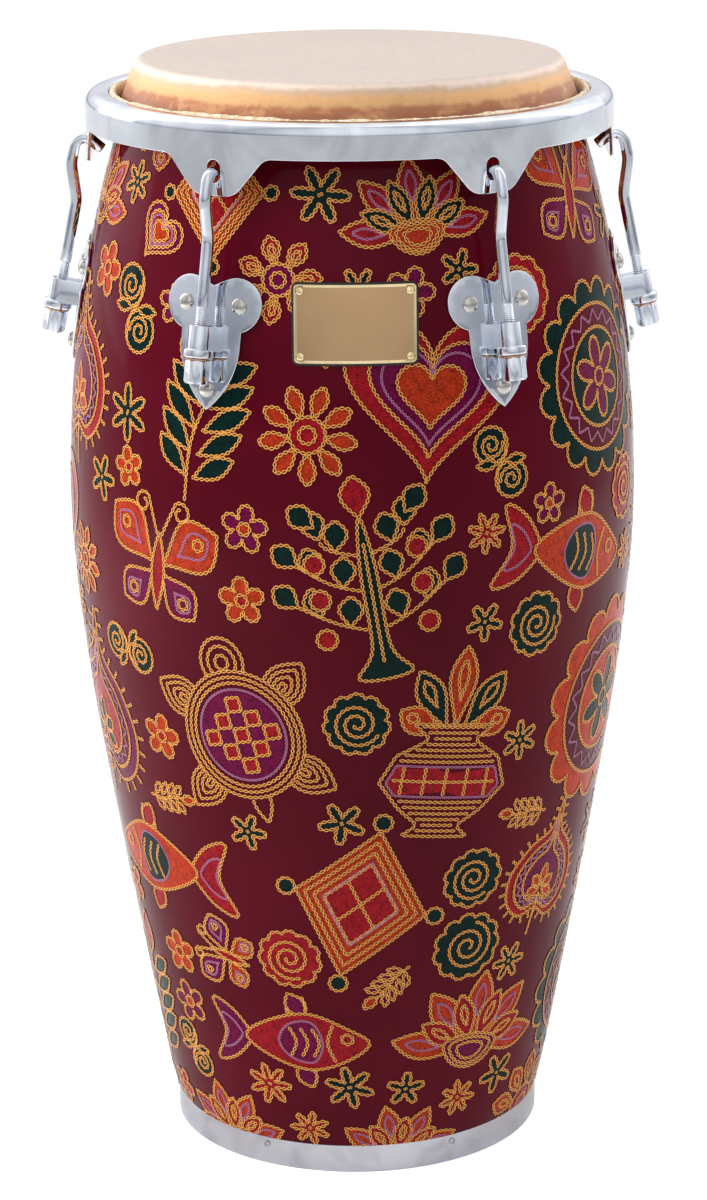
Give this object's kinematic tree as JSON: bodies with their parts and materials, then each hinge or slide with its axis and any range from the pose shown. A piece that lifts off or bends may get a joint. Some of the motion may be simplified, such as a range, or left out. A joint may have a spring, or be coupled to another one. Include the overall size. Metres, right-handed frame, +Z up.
{
  "type": "conga drum",
  "caption": "Tall bellied hand drum with a rawhide head held by a slotted metal rim and hooked tuning rods, open at the foot.",
  "frame": {"origin": "centre of the foot, on the floor", "axes": "+Z up the drum's axis; the badge faces -Y; +X to its right as seen from the front"},
  "size_m": [0.4264, 0.3916, 0.762],
  "materials": {
    "shell_print": "gloss lacquer over a stitched-pattern print",
    "chrome": "mirror",
    "satin_steel": "satin",
    "nickel": "soft polish",
    "rawhide": "smooth rawhide",
    "brass": "satin",
    "gasket": "matt"
  },
  "bodies": {
    "drum_body": {"shell": "shell_print", "bottom_ring": "satin_steel", "ring_screw_1": "satin_steel", "ring_screw_2": "satin_steel", "ring_screw_3": "satin_steel", "ring_screw_4": "satin_steel", "ring_screw_5": "satin_steel", "ring_screw_6": "satin_steel", "lug_plate_1": "chrome", "lug_plate_2": "chrome", "lug_plate_3": "chrome", "lug_plate_4": "chrome", "lug_plate_5": "chrome", "lug_plate_6": "chrome", "lug_bolt_1_left": "nickel", "lug_bolt_1_right": "nickel", "lug_bolt_1_lower": "nickel", "lug_bolt_2_left": "nickel", "lug_bolt_2_right": "nickel", "lug_bolt_2_lower": "nickel", "lug_bolt_3_left": "nickel", "lug_bolt_3_right": "nickel", "lug_bolt_3_lower": "nickel", "lug_bolt_4_left": "nickel", "lug_bolt_4_right": "nickel", "lug_bolt_4_lower": "nickel", "lug_bolt_5_left": "nickel", "lug_bolt_5_right": "nickel", "lug_bolt_5_lower": "nickel", "lug_bolt_6_left": "nickel", "lug_bolt_6_right": "nickel", "lug_bolt_6_lower": "nickel", "backing_plate_1": "satin_steel", "backing_plate_2": "satin_steel", "backing_plate_3": "satin_steel", "backing_plate_4": "satin_steel", "backing_plate_5": "satin_steel", "backing_plate_6": "satin_steel", "badge_gasket": "gasket", "badge_plate": "brass", "badge_screw_1": "brass", "badge_screw_2": "brass", "badge_screw_3": "brass", "badge_screw_4": "brass"},
    "head_and_rim": {"rim": "chrome", "flesh_hoop": "satin_steel", "head_skin": "rawhide"},
    "rod_1": {"hook_rod_1": "chrome"},
    "nut_1": {"tension_nut_1": "chrome"},
    "rod_2": {"hook_rod_2": "chrome"},
    "nut_2": {"tension_nut_2": "chrome"},
    "rod_3": {"hook_rod_3": "chrome"},
    "nut_3": {"tension_nut_3": "chrome"},
    "rod_4": {"hook_rod_4": "chrome"},
    "nut_4": {"tension_nut_4": "chrome"},
    "rod_5": {"hook_rod_5": "chrome"},
    "nut_5": {"tension_nut_5": "chrome"},
    "rod_6": {"hook_rod_6": "chrome"},
    "nut_6": {"tension_nut_6": "chrome"}
  },
  "joints": [
    {"name": "rim_lift", "type": "slide", "parent": "drum_body", "child": "head_and_rim", "axis": [0, 0, 1], "range_m": [0, 0.00979]},
    {"name": "nut_1_turn", "type": "hinge", "parent": "drum_body", "child": "nut_1", "pos_m": [0.09902, -0.1715, 0.611], "axis": [0.1005, -0.1741, -0.9796], "range_deg": [0, 2880]},
    {"name": "rod_1_slide", "type": "slide", "parent": "drum_body", "child": "rod_1", "axis": [-0.1005, 0.1741, 0.9796], "range_m": [0, 0.01]},
    {"name": "nut_2_turn", "type": "hinge", "parent": "drum_body", "child": "nut_2", "pos_m": [0.19803, 0, 0.611], "axis": [0.2011, 0, -0.9796], "range_deg": [0, 2880]},
    {"name": "rod_2_slide", "type": "slide", "parent": "drum_body", "child": "rod_2", "axis": [-0.2011, 0, 0.9796], "range_m": [0, 0.01]},
    {"name": "nut_3_turn", "type": "hinge", "parent": "drum_body", "child": "nut_3", "pos_m": [0.09902, 0.1715, 0.611], "axis": [0.1005, 0.1741, -0.9796], "range_deg": [0, 2880]},
    {"name": "rod_3_slide", "type": "slide", "parent": "drum_body", "child": "rod_3", "axis": [-0.1005, -0.1741, 0.9796], "range_m": [0, 0.01]},
    {"name": "nut_4_turn", "type": "hinge", "parent": "drum_body", "child": "nut_4", "pos_m": [-0.09902, 0.1715, 0.611], "axis": [-0.1005, 0.1741, -0.9796], "range_deg": [0, 2880]},
    {"name": "rod_4_slide", "type": "slide", "parent": "drum_body", "child": "rod_4", "axis": [0.1005, -0.1741, 0.9796], "range_m": [0, 0.01]},
    {"name": "nut_5_turn", "type": "hinge", "parent": "drum_body", "child": "nut_5", "pos_m": [-0.19803, 0, 0.611], "axis": [-0.2011, 0, -0.9796], "range_deg": [0, 2880]},
    {"name": "rod_5_slide", "type": "slide", "parent": "drum_body", "child": "rod_5", "axis": [0.2011, 0, 0.9796], "range_m": [0, 0.01]},
    {"name": "nut_6_turn", "type": "hinge", "parent": "drum_body", "child": "nut_6", "pos_m": [-0.09902, -0.1715, 0.611], "axis": [-0.1005, -0.1741, -0.9796], "range_deg": [0, 2880]},
    {"name": "rod_6_slide", "type": "slide", "parent": "drum_body", "child": "rod_6", "axis": [0.1005, 0.1741, 0.9796], "range_m": [0, 0.01]}
  ],
  "couplings": [
    {"joint": "nut_1_turn", "follows": "rim_lift", "rad_per_m": 5131.4},
    {"joint": "rod_1_slide", "follows": "rim_lift", "ratio": 1.0209},
    {"joint": "nut_2_turn", "follows": "rim_lift", "rad_per_m": 5131.4},
    {"joint": "rod_2_slide", "follows": "rim_lift", "ratio": 1.0209},
    {"joint": "nut_3_turn", "follows": "rim_lift", "rad_per_m": 5131.4},
    {"joint": "rod_3_slide", "follows": "rim_lift", "ratio": 1.0209},
    {"joint": "nut_4_turn", "follows": "rim_lift", "rad_per_m": 5131.4},
    {"joint": "rod_4_slide", "follows": "rim_lift", "ratio": 1.0209},
    {"joint": "nut_5_turn", "follows": "rim_lift", "rad_per_m": 5131.4},
    {"joint": "rod_5_slide", "follows": "rim_lift", "ratio": 1.0209},
    {"joint": "nut_6_turn", "follows": "rim_lift", "rad_per_m": 5131.4},
    {"joint": "rod_6_slide", "follows": "rim_lift", "ratio": 1.0209}
  ]
}
